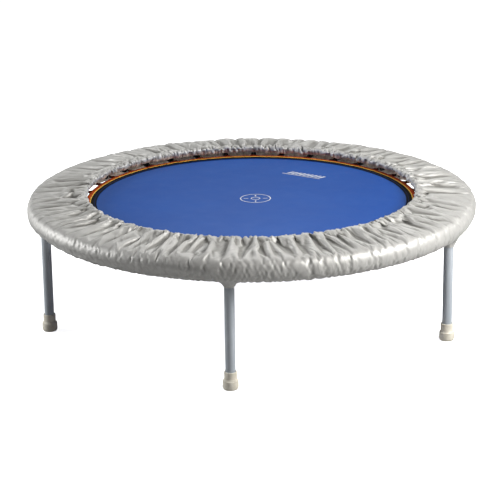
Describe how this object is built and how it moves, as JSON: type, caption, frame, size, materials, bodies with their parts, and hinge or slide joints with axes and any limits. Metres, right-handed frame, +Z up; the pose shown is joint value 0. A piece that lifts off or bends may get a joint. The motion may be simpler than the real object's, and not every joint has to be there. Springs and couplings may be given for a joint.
{
  "type": "mini trampoline",
  "caption": "Round mini trampoline: sprung mat in a padded tubular steel ring, on screw-in tubular legs with rubber feet.",
  "frame": {"origin": "centre of the ring, on the floor plane that the feet stand on", "axes": "+Z up along the ring's axis; -Y is the front, the side the picture was taken from; +X to the right"},
  "size_m": [1.04, 1.04, 0.31],
  "materials": {
    "powder_coated_steel": "satin",
    "zinc_stud": "satin",
    "spring_wire": "satin",
    "foot_rubber": "matte",
    "mat_fabric": "matte",
    "edge_webbing": "matte",
    "foam": "matte",
    "silver_cover": "satin"
  },
  "bodies": {
    "frame": {"frame_ring": "powder_coated_steel", "foam_rim_pad": "foam", "cover_top_panel": "silver_cover", "cover_skirt": "silver_cover", "spring_01": "spring_wire", "spring_02": "spring_wire", "spring_03": "spring_wire", "spring_04": "spring_wire", "spring_05": "spring_wire", "spring_06": "spring_wire", "spring_07": "spring_wire", "spring_08": "spring_wire", "spring_09": "spring_wire", "spring_10": "spring_wire", "spring_11": "spring_wire", "spring_12": "spring_wire", "spring_13": "spring_wire", "spring_14": "spring_wire", "spring_15": "spring_wire", "spring_16": "spring_wire", "spring_17": "spring_wire", "spring_18": "spring_wire", "spring_19": "spring_wire", "spring_20": "spring_wire", "spring_21": "spring_wire", "spring_22": "spring_wire", "spring_23": "spring_wire", "spring_24": "spring_wire", "spring_25": "spring_wire", "spring_26": "spring_wire", "spring_27": "spring_wire", "spring_28": "spring_wire", "spring_29": "spring_wire", "spring_30": "spring_wire", "spring_31": "spring_wire", "spring_32": "spring_wire", "spring_33": "spring_wire", "spring_34": "spring_wire", "spring_35": "spring_wire", "spring_36": "spring_wire"},
    "mat": {"jumping_mat": "mat_fabric", "mat_edge_band": "edge_webbing"},
    "leg_1_carrier": {"leg_1_foot": "foot_rubber"},
    "leg_1": {"leg_1_tube": "powder_coated_steel", "leg_1_stud": "zinc_stud"},
    "leg_2_carrier": {"leg_2_foot": "foot_rubber"},
    "leg_2": {"leg_2_tube": "powder_coated_steel", "leg_2_stud": "zinc_stud"},
    "leg_3_carrier": {"leg_3_foot": "foot_rubber"},
    "leg_3": {"leg_3_tube": "powder_coated_steel", "leg_3_stud": "zinc_stud"},
    "leg_4_carrier": {"leg_4_foot": "foot_rubber"},
    "leg_4": {"leg_4_tube": "powder_coated_steel", "leg_4_stud": "zinc_stud"},
    "leg_5_carrier": {"leg_5_foot": "foot_rubber"},
    "leg_5": {"leg_5_tube": "powder_coated_steel", "leg_5_stud": "zinc_stud"}
  },
  "joints": [
    {"name": "mat_bounce", "type": "slide", "parent": "frame", "child": "mat", "axis": [0, 0, 1], "range_m": [-0.09, 0], "stiffness_N_per_m": 8000, "deforming": ["spring_01", "spring_02", "spring_03", "spring_04", "spring_05", "spring_06", "spring_07", "spring_08", "spring_09", "spring_10", "spring_11", "spring_12", "spring_13", "spring_14", "spring_15", "spring_16", "spring_17", "spring_18", "spring_19", "spring_20", "spring_21", "spring_22", "spring_23", "spring_24", "spring_25", "spring_26", "spring_27", "spring_28", "spring_29", "spring_30", "spring_31", "spring_32", "spring_33", "spring_34", "spring_35", "spring_36"]},
    {"name": "leg_1_travel", "type": "slide", "parent": "frame", "child": "leg_1_carrier", "axis": [0, 0, 1], "range_m": [-0.018, 0]},
    {"name": "leg_1_turn", "type": "hinge", "parent": "leg_1_carrier", "child": "leg_1", "pos_m": [-0.04871, -0.47953, 0.232], "axis": [0, 0, 1], "range_deg": [-3240, 0]},
    {"name": "leg_2_travel", "type": "slide", "parent": "frame", "child": "leg_2_carrier", "axis": [0, 0, 1], "range_m": [-0.018, 0]},
    {"name": "leg_2_turn", "type": "hinge", "parent": "leg_2_carrier", "child": "leg_2", "pos_m": [0.44101, -0.19451, 0.232], "axis": [0, 0, 1], "range_deg": [-3240, 0]},
    {"name": "leg_3_travel", "type": "slide", "parent": "frame", "child": "leg_3_carrier", "axis": [0, 0, 1], "range_m": [-0.018, 0]},
    {"name": "leg_3_turn", "type": "hinge", "parent": "leg_3_carrier", "child": "leg_3", "pos_m": [0.32127, 0.35932, 0.232], "axis": [0, 0, 1], "range_deg": [-3240, 0]},
    {"name": "leg_4_travel", "type": "slide", "parent": "frame", "child": "leg_4_carrier", "axis": [0, 0, 1], "range_m": [-0.018, 0]},
    {"name": "leg_4_turn", "type": "hinge", "parent": "leg_4_carrier", "child": "leg_4", "pos_m": [-0.24246, 0.41658, 0.232], "axis": [0, 0, 1], "range_deg": [-3240, 0]},
    {"name": "leg_5_travel", "type": "slide", "parent": "frame", "child": "leg_5_carrier", "axis": [0, 0, 1], "range_m": [-0.018, 0]},
    {"name": "leg_5_turn", "type": "hinge", "parent": "leg_5_carrier", "child": "leg_5", "pos_m": [-0.47111, -0.10186, 0.232], "axis": [0, 0, 1], "range_deg": [-3240, 0]}
  ],
  "couplings": [
    {"joint": "leg_1_travel", "follows": "leg_1_turn", "m_per_rad": 0.0003183},
    {"joint": "leg_2_travel", "follows": "leg_2_turn", "m_per_rad": 0.0003183},
    {"joint": "leg_3_travel", "follows": "leg_3_turn", "m_per_rad": 0.0003183},
    {"joint": "leg_4_travel", "follows": "leg_4_turn", "m_per_rad": 0.0003183},
    {"joint": "leg_5_travel", "follows": "leg_5_turn", "m_per_rad": 0.0003183}
  ]
}
